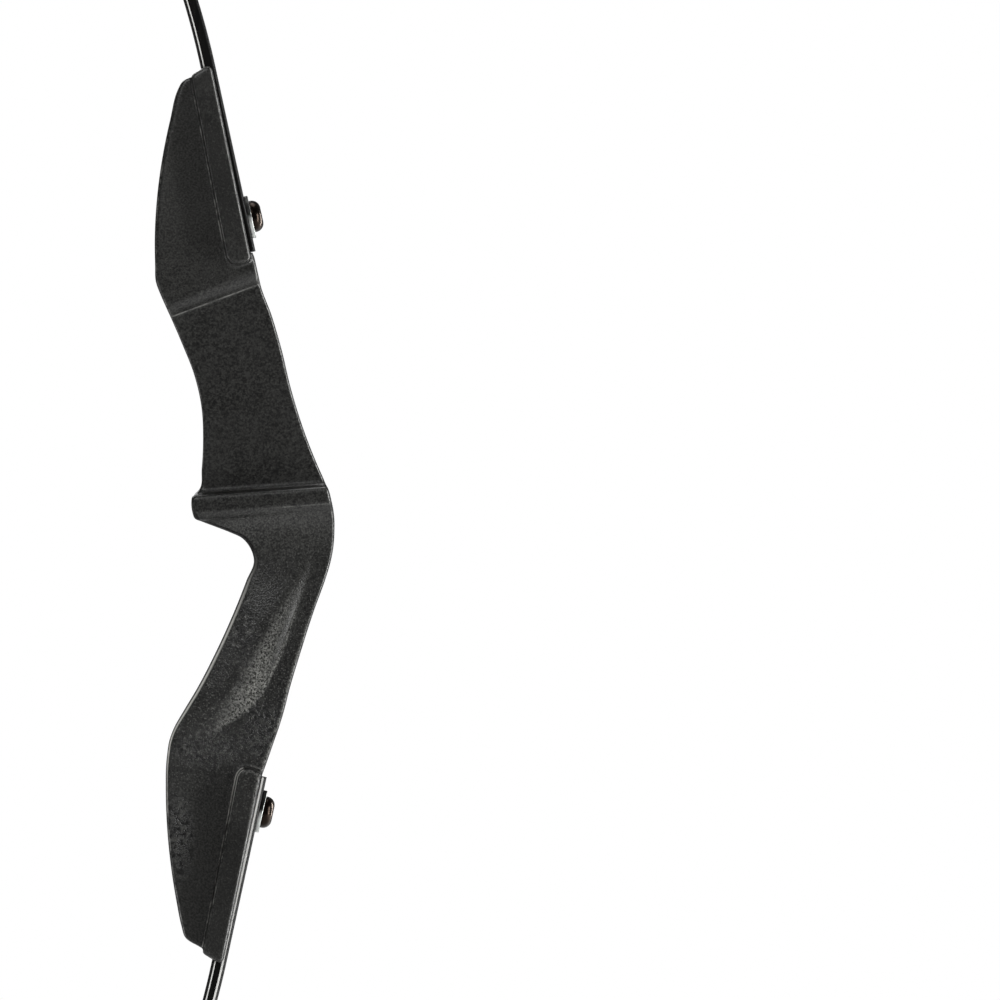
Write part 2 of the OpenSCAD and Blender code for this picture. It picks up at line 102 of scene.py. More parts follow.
def new_object(name, bm):
    mesh = bpy.data.meshes.new(name)
    bmesh.ops.recalc_face_normals(bm, faces=bm.faces[:])
    bm.to_mesh(mesh)
    bm.free()
    obj = bpy.data.objects.new(name, mesh)
    bpy.context.scene.collection.objects.link(obj)
    return obj


def coat(obj, material):
    """One material all over."""
    obj.data.materials.clear()
    obj.data.materials.append(material)


def skin_rings(bm, rings, seam=None):
    """Closed rings of points joined into a capped tube. seam gives each side of a ring its material index."""
    rows = [[bm.verts.new(p) for p in ring] for ring in rings]
    n = len(rows[0])
    for a, b in zip(rows, rows[1:]):
        for k in range(n):
            face = bm.faces.new((a[k], a[(k + 1) % n], b[(k + 1) % n], b[k]))
            if seam:
                face.material_index = seam[k]
    bm.faces.new(rows[0][::-1])
    bm.faces.new(rows[-1])


def smooth(obj, angle=35):
    obj.data.shade_smooth()
    bpy.context.view_layer.objects.active = obj
    obj.select_set(True)
    bpy.ops.object.shade_smooth_by_angle(angle=math.radians(angle))
    obj.select_set(False)


def apply_modifiers(obj):
    graph = bpy.context.evaluated_depsgraph_get()
    old, mesh = obj.data, bpy.data.meshes.new_from_object(obj.evaluated_get(graph))
    obj.modifiers.clear()
    obj.data = mesh
    bpy.data.meshes.remove(old)


def cut(obj, tools):
    for tool in tools:
        modifier = obj.modifiers.new("cut", "BOOLEAN")
        modifier.operation, modifier.object, modifier.solver = "DIFFERENCE", tool, "MANIFOLD"
        apply_modifiers(obj)
        bpy.data.objects.remove(tool)


def quarter(steps):
    """Angles of a quarter turn."""
    return [math.radians(90 * k / steps) for k in range(steps + 1)]


def arc(cx, cy, r, first, last, steps=5):
    """Points of an arc between two angles in degrees."""
    turns = [math.radians(first + (last - first) * k / steps) for k in range(steps + 1)]
    return [(cx + r * math.cos(a), cy + r * math.sin(a)) for a in turns]


def lathe(name, profile, origin, axis, around=64, relief=None):
    """A profile of (radius, height) turned about an axis. relief(angle, height) adds to the radius."""
    bm = bmesh.new()
    z, x = Vector(axis).normalized(), Vector((0, 1, 0))
    y = z.cross(x)
    rows = []
    for radius, h in profile:
        if radius == 0:
            rows.append([bm.verts.new(origin + z * h / 1000)])
            continue
        row = []
        for a in (2 * math.pi * k / around for k in range(around)):
            r = radius + (relief(a, h) if relief else 0)
            row.append(bm.verts.new(origin + (x * math.cos(a) * r + y * math.sin(a) * r + z * h) / 1000))
        rows.append(row)
    pairs = list(zip(rows, rows[1:]))
    if len(rows[0]) > 1:
        pairs.append((rows[-1], rows[0]))
    for a, b in pairs:
        for k in range(around):
            j = (k + 1) % around
            if len(a) == 1:
                bm.faces.new((a[0], b[j], b[k]))
            elif len(b) == 1:
                bm.faces.new((a[k], a[j], b[0]))
            else:
                bm.faces.new((a[k], a[j], b[j], b[k]))
    return new_object(name, bm)


# Materials

class Shading:
    """A material's nodes. Masks are outputs from 0 to 1, and locate gives x, y and z in millimetres."""

    def __init__(self, name, base, rough, metallic=0.0):
        self.material = bpy.data.materials.new(name)
        self.material.use_nodes = True
        self.tree = self.material.node_tree
        self.shader = self.tree.nodes["Principled BSDF"]
        self.finish(base, rough)
        self.put(self.shader.inputs["Metallic"], metallic)
        coords = self.node("TexCoord")
        self.point = coords.outputs["Object"]
        self.forward, across, self.upward = self.split(coords.outputs["Normal"])
        self.sideways = self.size(across)

    def locate(self):
        """Adds x, y and z, and aside, the distance from the plane of symmetry."""
        self.x, self.y, self.z = (self.times(part, 1000) for part in self.split(self.point))
        self.aside = self.size(self.y)

    def node(self, kind, **values):
        new = self.tree.nodes.new("ShaderNode" + kind)
        for name, value in values.items():
            setattr(new, name, value)
        return new

    def put(self, socket, value):
        """Sets an input to a number or a colour, or links another node's output to it."""
        if isinstance(value, tuple):
            socket.default_value = (*value, 1)
        elif isinstance(value, (int, float)):
            socket.default_value = value
        else:
            self.tree.links.new(value, socket)

    def finish(self, colour, rough, shine=None):
        for name, value in (("Base Color", colour), ("Roughness", rough), ("Specular IOR Level", shine)):
            if value is not None:
                self.put(self.shader.inputs[name], value)

    def split(self, vector):
        parts = self.node("SeparateXYZ")
        self.put(parts.inputs[0], vector)
        return parts.outputs[0], parts.outputs[1], parts.outputs[2]

    def chain(self, how, first, *others):
        for value in others:
            step = self.node("Math", operation=how)
            self.put(step.inputs[0], first)
            self.put(step.inputs[1], value)
            first = step.outputs[0]
        return first

    def times(self, *values):
        return self.chain("MULTIPLY", *values)

    def plus(self, *values):
        return self.chain("ADD", *values)

    def minus(self, *values):
        return self.chain("SUBTRACT", *values)

    def most(self, *values):
        return self.chain("MAXIMUM", *values)

    def size(self, value):
        step = self.node("Math", operation="ABSOLUTE")
        self.put(step.inputs[0], value)
        return step.outputs[0]

    def ramp(self, value, first, last, at_first=0.0, at_last=1.0):
        """Runs from at_first to at_last while value runs from first to last, and stays there."""
        step = self.node("MapRange", clamp=True)
        for k, setting in enumerate((value, first, last, at_first, at_last)):
            self.put(step.inputs[k], setting)
        return step.outputs["Result"]

    def mix(self, mask, a, b):
        step = self.node("Mix", data_type="RGBA")
        for k, value in ((0, mask), (6, a), (7, b)):
            self.put(step.inputs[k], value)
        return step.outputs[2]

    def noise(self, scale, detail, rough, vector=None):
        step = self.node("TexNoise")
        self.put(step.inputs["Vector"], self.point if vector is None else vector)
        for name, value in (("Scale", scale), ("Detail", detail), ("Roughness", rough)):
            self.put(step.inputs[name], value)
        return step.outputs["Fac"]

    def wrinkles(self, scale, detail, rough, width):
        """Thin bent lines, where a noise crosses its middle."""
        return self.ramp(self.size(self.minus(self.noise(scale, detail, rough), 0.5)), 0, width, 1, 0)

    def side_line(self, p, q, width):
        """The line through p and q in side view."""
        along = (Vector(q) - Vector(p)).normalized()
        across = Vector((-along.y, along.x))
        off = self.plus(self.times(self.x, across.x), self.times(self.z, across.y))
        return self.ramp(self.size(self.minus(off, Vector(p).dot(across))), width * 0.4, width, 1, 0)

    def spot(self, x, z, half_x, half_z):
        """An oval in side view that fades to 0 at its rim."""
        dx = self.times(self.minus(self.x, x), 1 / half_x)
        dz = self.times(self.minus(self.z, z), 1 / half_z)
        return self.ramp(self.plus(self.times(dx, dx), self.times(dz, dz)), 0.25, 1.0, 1, 0)

    def bump(self, height, strength, distance):
        step = self.node("Bump")
        for name, value in (("Height", height), ("Strength", strength), ("Distance", distance)):
            self.put(step.inputs[name], value)
        self.put(self.shader.inputs["Normal"], step.outputs["Normal"])


def grey(value):
    """The nylon's greys, a little warmer than neutral."""
    return (value, value, value * 0.935)


BLACK = (0.001, 0.001, 0.001)
# Heights over which the held zone and the two fins fade in, and the same across a pocket's band
HELD_ABOVE, HELD_BELOW = (30, -30), (-120, -85)
UPPER_FIN, LOWER_FIN, BAND_SIDE = (122, 150), (-90, -115), (17.2, 18.4)
# Spots round the shelf in side view, which place painted light, painted shade and a gap in the painted edge
# highlights: middle and half axes
LIT_UNDER_SHELF, SHELF_TOP = (10, 13, 28, 13), (2, 32, 60, 16)
SHADE_UNDER_SHELF, NO_EDGE_HIGHLIGHT = (-13, 11, 30, 20), (-13, 11, 32, 22)
# The ridge along the shelf's foot, where a highlight line is painted
FOOT_A, FOOT_B = (12, 23.2), (31.5, 24.6)
# Worn patches in side view: middle and half axes
WORN_PATCHES = [
    (-34, -122, 10, 26),
    (-19, -82, 20, 12),
    (4, -75, 13, 16),
    (-5, -30, 6, 30),
    (12, -104, 8, 10),
]


def moulded(m, held, grain, cloud):
    """The mould's grain: darker where a hand holds the bow, with light painted under the shelf, harsher on
    the fins.
    """
    fins = m.times(m.most(m.ramp(m.z, *UPPER_FIN), m.ramp(m.z, *LOWER_FIN)), m.ramp(m.sideways, 0.94, 0.985))
    bands = m.times(fins, m.ramp(m.aside, *BAND_SIDE))
    light = m.mix(held, grey(0.036), grey(0.023))
    # Painted light under the shelf, where the surfaces face light from below
    light = m.mix(m.times(m.spot(*LIT_UNDER_SHELF), 0.6), light, grey(0.075))
    light = m.mix(bands, m.mix(fins, light, grey(0.05)), grey(0.02))
    shade = m.mix(bands, m.mix(fins, grey(0.001), grey(0.011)), grey(0.006))
    colour = m.mix(m.ramp(grain, 0.38, 0.64), shade, light)
    return m.mix(m.ramp(cloud, 0.35, 0.7, 0, 0.3), colour, grey(0.02))


def painted_swell_highlight(m, colour, held):
    """A painted highlight on the swell's slope, broken into coarse pale pebbles, and pale specks painted as
    glints.
    """
    # Painted highlight on the slope that turns towards the target, weaker towards the top
    slope = m.times(m.ramp(m.forward, 0.02, 0.26), m.ramp(m.sideways, 0.8, 0.88), held)
    highlight_pebble = m.times(m.ramp(m.noise(1100, 2, 0.7), 0.4, 0.62), m.ramp(m.z, -12, -55, 0.15, 1))
    highlight_pebble = m.times(slope, highlight_pebble, m.ramp(m.forward, 0.36, 0.48, 1, 0.5))
    colour = m.mix(highlight_pebble, colour, grey(0.27))
    # Pale specks painted as glints, most where the bow is held
    glint_speck = m.times(m.ramp(m.noise(1500, 0, 0.5), 0.62, 0.74), m.ramp(held, 0, 1, 0.2, 0.8))
    glint_speck = m.times(glint_speck, m.ramp(m.sideways, 0.5, 0.8, 0.2, 1))
    return m.mix(glint_speck, colour, grey(0.11)), slope, highlight_pebble


def rubbed_patches(m, colour):
    """Leathery marks where the hand and the ground rub, and a few creases."""
    marks = m.times(m.most(*(m.spot(*patch) for patch in WORN_PATCHES)), m.ramp(m.sideways, 0.7, 0.85))
    leather = m.noise(420, 3, 0.7)
    worn = m.times(marks, m.ramp(leather, 0.54, 0.66))
    rubbed = m.times(marks, m.ramp(leather, 0.44, 0.54, 1, 0))
    colour = m.mix(m.times(worn, 0.45), colour, grey(0.16))
    colour = m.mix(m.times(rubbed, 0.85), colour, BLACK)
    creased = m.times(m.wrinkles(130, 5, 0.7, 0.03), m.ramp(m.noise(17, 2, 0.5), 0.48, 0.6))
    return m.mix(m.times(creased, 0.3), colour, grey(0.085)), worn, rubbed


def dull_shaded_faces(m):
    """Painted shade, with a duller sheen, on faces that look at the target or the archer, on the rounding
    under the shelf and on the shelf's top.
    """
    lengthwise = m.most(m.ramp(m.forward, 0.45, 0.65), m.ramp(m.forward, -0.45, -0.65, 0, 0.6))
    ends = m.times(m.ramp(m.sideways, 0.45, 0.72, 1, 0), lengthwise)
    under = m.times(m.ramp(m.sideways, 0.75, 0.93, 1, 0), m.spot(*SHADE_UNDER_SHELF))
    under = m.times(under, m.ramp(m.forward, -0.03, -0.14))
    top = m.times(m.ramp(m.upward, 0.6, 0.9), m.spot(*SHELF_TOP), 0.3)
    return m.most(ends, under, top)


def painted_edge_highlights(m, colour, held, scuff):
    """Painted highlights: thin broken light lines along the rounded edges, but not under the shelf or on the
    swell.
    """
    behind = m.times(m.ramp(m.sideways, 0.45, 0.58), m.ramp(m.sideways, 0.72, 0.84, 1, 0))
    behind = m.times(behind, m.ramp(m.forward, -0.22, -0.34), m.most(m.ramp(scuff, 0.48, 0.6, 0, 0.8), held))
    behind = m.times(behind, m.minus(1, m.spot(*NO_EDGE_HIGHLIGHT)), m.ramp(held, 0, 1, 0.3, 1))
    colour = m.mix(behind, colour, (0.7, 0.69, 0.65))
    swollen = m.times(held, m.ramp(m.aside, STRIP_HALF, STRIP_HALF + 0.4))
    ahead = m.times(m.ramp(m.sideways, 0.7, 0.78), m.ramp(m.sideways, 0.84, 0.9, 1, 0))
    ahead = m.times(ahead, m.ramp(m.forward, 0.3, 0.4), m.ramp(scuff, 0.4, 0.56, 0.15, 1))
    return m.mix(m.times(ahead, m.minus(1, swollen), 0.8), colour, (0.4, 0.4, 0.385))


def lit_steps(m, colour, scuff):
    """Painted highlight lines along the step where the block drops to the web, and along the ridge at the
    shelf's foot.
    """
    step = m.times(m.side_line(crease_a, crease_b, 0.4), m.ramp(m.sideways, 0.2, 0.5))
    colour = m.mix(m.times(step, m.ramp(scuff, 0.4, 0.6, 0.15, 0.9)), colour, grey(0.16))
    foot = m.times(m.side_line(FOOT_A, FOOT_B, 0.35), m.ramp(m.sideways, 0.6, 0.8), m.ramp(m.x, 8, 14))
    return m.mix(m.times(foot, m.ramp(scuff, 0.42, 0.58, 0.1, 0.8)), colour, grey(0.16))


def riser_material():
    m = Shading("riser_nylon", grey(0.02), 0.5)
    m.locate()
    held = m.times(m.ramp(m.z, *HELD_ABOVE), m.ramp(m.z, *HELD_BELOW))
    grain, cloud, scuff = m.noise(1150, 1, 0.7), m.noise(38, 4, 0.6), m.noise(150, 5, 0.75)
    colour, slope, highlight_pebble = painted_swell_highlight(m, moulded(m, held, grain, cloud), held)
    colour, worn, rubbed = rubbed_patches(m, colour)
    dull_and_shaded = dull_shaded_faces(m)
    # Painted shade: these faces are darkened towards black
    colour = m.mix(m.times(dull_and_shaded, 0.55), colour, BLACK)
    # The mould's parting line runs down the middle of the faces ahead and behind
    parting = m.times(m.ramp(m.aside, 0.12, 0.32, 1, 0), m.ramp(m.size(m.forward), 0.3, 0.5))
    colour = m.mix(m.times(parting, 0.75), colour, (0.16, 0.16, 0.155))
    # Painted highlights along the rounded edges, the block's step and the shelf's foot
    colour = lit_steps(m, painted_edge_highlights(m, colour, held, scuff), scuff)
    rough = m.minus(m.ramp(cloud, 0.3, 0.7, 0.28, 0.38), m.times(worn, 0.08))
    m.finish(colour, rough, m.minus(m.ramp(dull_and_shaded, 0, 1, 0.5, 0.06), m.times(slope, 0.4)))
    height = m.plus(m.times(grain, m.ramp(held, 0, 1, 0.5, 1.3)), m.times(parting, 1.2), m.times(highlight_pebble, 1.6))
    m.bump(m.minus(height, m.times(rubbed, 0.8)), 0.6, 0.0004)
    return m.material


def limb_material(name, base, rough, warm, shine=0.5):
    """Glass laminate, streaked along the bow and specked with dust. Its rounded edges are duller, and painted
    darker as shade.
    """
    m = Shading(name, base, rough)
    stretched = m.node("Mapping")
    stretched.inputs["Scale"].default_value = (1, 1, 0.04)
    m.put(stretched.inputs["Vector"], m.point)
    streak = m.noise(900, 3, 0.6, stretched.outputs[0])
    colour = m.mix(m.ramp(streak, 0.35, 0.65), base, warm)
    colour = m.mix(m.ramp(m.noise(1100, 2, 0.5), 0.68, 0.76, 0, 0.4), colour, (0.08, 0.078, 0.075))
    dull_and_shaded = m.times(m.ramp(m.sideways, 0.75, 0.93, 1, 0), m.ramp(m.forward, -0.5, -0.2))
    # Painted shade on the rounded edges, darkened to near black
    colour = m.mix(m.times(m.ramp(m.sideways, 0.02, 0.1), dull_and_shaded), colour, (0.002, 0.002, 0.002))
    rough = m.ramp(m.noise(30, 3, 0.5), 0.3, 0.7, rough - 0.05, rough + 0.07)
    m.finish(colour, rough, m.ramp(dull_and_shaded, 0, 1, shine, 0.1))
    m.bump(streak, 0.12, 0.0002)
    return m.material


def metal_material(name, base, other, rough, grain=700, depth=0.15, rim=(1.0, 1.0)):
    """rim scales the faces that don't look along the bolts, those turned up and those turned down, as painted
    shade and painted reflection.
    """
    m = Shading(name, base, rough, 1.0)
    colour = m.mix(m.ramp(m.noise(220, 3, 0.6), 0.35, 0.65), base, other)
    up, down = (tuple(part * scale for part in base) for scale in rim)
    # Painted shade and reflection on the faces that don't look along the bolts
    painted_rims = m.mix(m.ramp(m.upward, 0.12, -0.08), up, down)
    colour = m.mix(m.ramp(m.size(m.forward), 0.4, 0.8), painted_rims, colour)
    fine = m.noise(grain, 4, 0.65)
    m.finish(colour, m.ramp(fine, 0.3, 0.7, rough - 0.07, rough + 0.08))
    m.bump(fine, depth, 0.0002)
    return m.material


# Riser: the CAD loft again, with finer rings, then rounded and cut

STRIP_HALF, FIN_HALF, WEB_HALF, SHELF_HALF = 9.3, 9.5, 4.8, 17.2
SWELL_OUT, STRIP_X, SHELF_FILLET, SHELF_SIDE = 4.6, 33.8, 3.0, 7.2
FILLET_FOOT = SHELF_FILLET * 0.3
# Where the fins' target edge lies under the limb's back
UNDER_LIMB = -2.8
FIN_DEPTH, FIN_TAPER, UPPER_FIN_CURVE, LOWER_FIN_CURVE = 44.8, math.radians(9.1), 200, 238


def section(a, b, h, swell=0.0, crease=0.5, ra=2.5, rb=1.0, peak=0.36):
    """A cross-section from its archer edge a to its target edge b.

    h is its half thickness. The swell starts at the crease, a share of the depth, and stands out most
    at peak, a share of the way from the crease back to the archer edge. ra and rb round the two edges.
    """
    return (Vector(a), Vector(b), (h, swell, crease, ra, rb, peak))


def fin_section(end, curve, stop):
    n = -FIN_DEPTH + stop[0] * math.tan(FIN_TAPER) + stop[0] * stop[0] / (2 * curve)
    return section(flat(end, n, stop[0]), flat(end, UNDER_LIMB, stop[1]), FIN_HALF)


def end_section(end, n, back, front):
    """A section past the fin, where the riser closes under the limb."""
    a, b = flat(end, n, POCKET_LEN + back), flat(end, UNDER_LIMB, POCKET_LEN + front)
    return section(a, b, FIN_HALF, ra=2)


# Where each fin section meets the archer edge and the target edge, from the limb's butt
UPPER_STOPS = [(3, 6), (14, 16), (31, 33), (48, 50), (64, 66), (77, 79)]
LOWER_STOPS = [(3, 6), (14, 16), (31, 33), (48, 50), (62, 65), (71.5, 78)]
block_a, block_b = Vector(flat("upper", -43.9, -14)), Vector(flat("upper", -1, -6.1))
crease_a, crease_b = Vector(flat("upper", -42.5, -20.7)), Vector(flat("upper", -0.9, -14.8))
web_a, web_b = Vector((-24.1, 31)), Vector((30.9, 34.9))
shelf_a, shelf_b = Vector((-26.4, 28.4)), Vector((32, 32.5))
shelf_line = (shelf_b - shelf_a).normalized()


def block_section(turn):
    """The block's rounded drop to the web, whose face leans by turn degrees."""
    a = math.radians(turn)
    part, drop = math.sin(a) / math.sin(math.radians(60)), (1 - math.cos(a)) / 0.5
    edges = block_a + (crease_a - block_a) * part, block_b + (crease_b - block_b) * part
    return section(*edges, FIN_HALF - (FIN_HALF - WEB_HALF) * drop, ra=2)


def web_section(part_a, bow_a, part_b, bow_b):
    """A share of the way down each of the web's edges, and off its straight line by bow."""
    a = crease_a + (web_a - crease_a) * part_a + Vector((bow_a, 0))
    b = crease_b + (web_b - crease_b) * part_b + Vector((bow_b, 0))
    return section(a, b, WEB_HALF, ra=1.4)


def shelf_section(a, b, h, ra=2.0):
    """Its edges are given by their distance from the ends of the shelf's top."""
    return section(shelf_a + Vector(a), shelf_b + Vector(b), h, ra=ra)


def grip_section(a, b, swell, crease=0.77, peak=0.36, wider=0.0):
    """b is measured from the throat's target edge."""
    return section(a, (STRIP_X + b[0], b[1]), STRIP_HALF + wider, swell, crease, 4, peak=peak)


sections = (
    [end_section("upper", -11, -2.4, -1), end_section("upper", -15.6, -3.7, -1.6)]
    + [fin_section("upper", UPPER_FIN_CURVE, stop) for stop in UPPER_STOPS[::-1]]
    + [
        section(flat("upper", -45.5, -4), flat("upper", -1, -3.2), FIN_HALF),
        section(flat("upper", -44.7, -10), flat("upper", -1, -4.9), FIN_HALF, ra=2),
        *(block_section(turn) for turn in (0, 12, 24, 36, 48)),
        web_section(0, 0, 0, 0),
        web_section(0.16, 3.2, 0.16, 0.5),
        web_section(0.33, 6.1, 0.33, 0),
        web_section(0.52, 7, 0.53, -1.5),
        web_section(0.72, 5.2, 0.74, -1.8),
        web_section(0.88, 2.6, 0.92, -0.8),
        web_section(1, 0, 1, 0),
        shelf_section((0.6, FILLET_FOOT), (-0.5, FILLET_FOOT), WEB_HALF + FILLET_FOOT, 1.4),
        shelf_section((0, 0), (0, 0), WEB_HALF + SHELF_FILLET),
        shelf_section(shelf_line * -0.1, shelf_line * 0.1, SHELF_HALF - 1.6),
        shelf_section((-0.7, -0.6), (0.3, -0.6), SHELF_HALF - 0.5),
        shelf_section((-0.9, -1.8), (0.7, -1.7), SHELF_HALF),
        shelf_section((-0.4, -SHELF_SIDE - 0.6), (2.1, -SHELF_SIDE), SHELF_HALF),
        section((-26, 18.3), (STRIP_X + 0.7, 23.6), SHELF_HALF - 1.7, 0, 0.6, 2.4),
        section((-23, 17), (STRIP_X + 1.1, 21.3), SHELF_HALF - 3.9, 0, 0.77, 3),
        section((-16.5, 14.5), (STRIP_X + 1.5, 17), STRIP_HALF + 2, 0.2, 0.77, 3.5),
        grip_section((-10.1, 12), (1.5, 13.4), 0.4, wider=1),
        grip_section((-5, 9.5), (1.4, 9.9), 0.6, wider=0.4),
        grip_section((-2, 6), (1.1, 6.3), 0.8, wider=0.1),
        grip_section((-0.6, 2.9), (0.6, 3), 0.9),
        grip_section((0, 0), (0, 0), 1, peak=0.32),
        grip_section((-3.2, -8.8), (-2.6, -8.8), 0.36 * SWELL_OUT, 0.77, 0.34),
        grip_section((-8.4, -22), (-7.4, -22), 0.78 * SWELL_OUT, 0.775, 0.42),
        grip_section((-16.5, -40), (-13.2, -40), SWELL_OUT, 0.777, 0.52),
        grip_section((-25.3, -57), (-18.3, -57), 0.84 * SWELL_OUT, 0.73, 0.62),
        grip_section((-30.7, -66), (-20.6, -66), 0.5 * SWELL_OUT, 0.66, 0.66),
        section((-35.4, -74.4), (STRIP_X - 23.3, -74.8), STRIP_HALF + 0.1, 0.12 * SWELL_OUT, 0.42, 3),
        section(flat("lower", -45.1, -6.5), flat("lower", -0.1, -16.6), FIN_HALF - 0.1, 0, 0.3),
        section(flat("lower", -44.8, -1.5), flat("lower", -1.2, -7.5), FIN_HALF),
    ]
    + [fin_section("lower", LOWER_FIN_CURVE, stop) for stop in LOWER_STOPS]
    + [end_section("lower", -20.1, -7.1, -2.4), end_section("lower", -12.7, -4.2, -1.2)]
)


def heading(points, i):
    """The direction in which a smooth curve through the points passes point i."""
    steps = [points[k + 1] - points[k] for k in (i - 1, i) if 0 <= k < len(points) - 1]
    if len(steps) == 1:
        return steps[0].normalized()
    before, after = steps[0].length, steps[1].length
    return (steps[1] / after * before + steps[0] / before * after) / (before + after)


def between(points, i, t):
    """A point on that curve, a share t of the way from point i to the next."""
    a, b = points[i], points[i + 1]
    length = (b - a).length
    return (
        a * (1 + 2 * t) * (1 - t) ** 2
        + b * t * t * (3 - 2 * t)
        + heading(points, i) * length * t * (1 - t) ** 2
        - heading(points, i + 1) * length * t * t * (1 - t)
    )


def swell_shape(u, peak):
    """The swell's height as a share: 0 at the crease, 1 at its peak, half at the archer edge."""
    if u < peak:
        return 1 - (1 - u / peak) ** 2
    return 1 - 0.5 * ((u - peak) / (1 - peak)) ** 2


def half_ring(depth, law):
    """One side of a section: shares of its depth, and heights above the plane of symmetry."""
    h, swell, crease, ra, rb, peak = law
    ra = min(ra, h - 1)
    edge_h = h + swell * swell_shape(0.97, peak)
    side = [(ra * (1 - math.cos(a)) / depth, edge_h - ra * (1 - math.sin(a))) for a in quarter(8)[:-1]]
    for k in range(30):
        u = 0.96 - 0.955 * k / 29
        side.append((ra / depth + (crease - ra / depth) * (1 - u), h + swell * swell_shape(u, peak)))
    side += [(crease + (1 - rb / depth - crease) * k / 8, h) for k in range(8)]
    side += [(1 - rb * (1 - math.cos(a)) / depth, h - rb * (1 - math.sin(a))) for a in quarter(6)[::-1]]
    return side


# Stretch of the grip whose sections are averaged with their neighbours, and how many on each side
EASED_FROM, EASED_TO, NEIGHBOURS = -84, 16, 4


def riser_rings(step):
    """The outlines to skin, at most step apart, each in metres."""
    archer, target = [s[0] for s in sections], [s[1] for s in sections]
    rows = []
    for i in range(len(sections) - 1):
        longest = max((edge[i + 1] - edge[i]).length for edge in (archer, target))
        count = max(1, math.ceil(longest / step))
        for t in (k / count for k in range(count)):
            law = [x * (1 - t) + y * t for x, y in zip(sections[i][2], sections[i + 1][2])]
            rows.append((between(archer, i, t), between(target, i, t), law))
    rows.append(sections[-1])
    rings = []
    for k, (a, b, law) in enumerate(rows):
        if EASED_FROM < a.y < EASED_TO:
            near = rows[max(k - NEIGHBOURS, 0):k + NEIGHBOURS + 1]
            law = [sum(values) / len(near) for values in zip(*(row[2] for row in near))]
        side = half_ring((b - a).length, law)
        whole = side + [(t, -y) for t, y in side[::-1]]
        rings.append([Vector((a.x + (b.x - a.x) * t, y, a.y + (b.y - a.y) * t)) / 1000 for t, y in whole])
    return rings


def rounded(corners, steps=8):
    """An outline whose corners (x, y, radius) are rounded."""
    out = []
    for i, (x, y, r) in enumerate(corners):
        p = Vector((x, y))
        e = (Vector(corners[i - 1][:2]) - p).normalized()
        f = (Vector(corners[(i + 1) % len(corners)][:2]) - p).normalized()
        half = e.angle(f) / 2
        centre = p + (e + f).normalized() * r / math.sin(half)
        first = p + e * r / math.tan(half) - centre
        last = p + f * r / math.tan(half) - centre
        turn = first.angle_signed(last)
        for k in range(steps + 1):
            v = first.copy()
            v.rotate(Matrix.Rotation(-turn * k / steps, 2))
            out.append(centre + v)
    return out


# A pocket's band: where it starts, the rounding of its sides and the cove between it and the fin
BAND_START = {"upper": -5.4, "lower": -3.6}
BAND_EDGE, COVE = 1.6, 1.8


def band_outline(end, inset):
    start = BAND_START[end]
    return rounded([
        (-BAND_BUTT + inset, start + inset * 0.8, 5 - inset),
        (-PROUD_BUTT - inset, start + 1.6 + inset, 1.9 - inset),
        (-PROUD_TIP - inset, POCKET_LEN + 1.4 - inset, 2.2 - inset),
        (-BAND_TIP + inset, POCKET_LEN - 2 - inset * 1.1, 1.9 - inset),
    ])


def cove_outline(end, grow):
    """The band's outline, grown behind its back edge and its butt end only."""
    start = BAND_START[end]
    return rounded([
        (-BAND_BUTT - grow, start - grow, 5),
        (-PROUD_BUTT - 0.5, start + 1.6 - grow, 1),
        (-PROUD_TIP - 0.5, POCKET_LEN + 0.7, 1),
        (-BAND_TIP - grow, POCKET_LEN - 4 - grow, 1),
    ])


def band(bm, end):
    """The band with rounded sides, and the cove between it and the fin."""
    half = [(POCKET_W / 2 - BAND_EDGE * (1 - math.cos(a)), BAND_EDGE * (1 - math.sin(a))) for a in quarter(6)]
    rows = [(-y, inset) for y, inset in half] + half[::-1]
    skin_rings(bm, [[place(end, p.x, p.y, y) for p in band_outline(end, inset)] for y, inset in rows])
    half = [(FIN_HALF + COVE * (1 - math.sin(a)), COVE * (1 - math.cos(a))) for a in quarter(8)]
    rows = [(-y, grow) for y, grow in half] + half[::-1]
    skin_rings(bm, [[place(end, p.x, p.y, y) for p in cove_outline(end, grow)] for y, grow in rows])


def pocket_channel(end):
    """The room for a limb, as a box from the pocket's floor outwards."""
    clear = 30
    lo = (-LIMB_T, -LIMB_W / 2 - LIMB_PLAY, -BUTT_GAP)
    hi = (clear, LIMB_W / 2 + LIMB_PLAY, POCKET_LEN + clear)
    bm = bmesh.new()
    bmesh.ops.create_cube(bm, size=1)
    for v in bm.verts:
        n, y, s = (a + (b - a) * (c + 0.5) for a, b, c in zip(lo, hi, v.co))
        v.co = place(end, n, s, y)
    bmesh.ops.recalc_face_normals(bm, faces=bm.faces[:])
    bmesh.ops.bevel(bm, geom=bm.edges[:], offset=0.35 / 1000, segments=3, affect="EDGES", profile=0.5)
    return new_object("channel_" + end, bm)


def bolt_bore(end):
    """Room for the insert, and for the bolt's end below it."""
    below, top, end_r = 6, 24, BOLT_D / 2 + 0.7
    profile = [(0, 0), (end_r, 0), (end_r, below), (INSERT_D / 2, below), (INSERT_D / 2, top), (0, top)]
    start = place(end, -LIMB_T - INSERT_BELOW_FLOOR - INSERT_LEN - below, BOLT_FROM_BUTT)
    return lathe("bore_" + end, profile, start, outward(end))


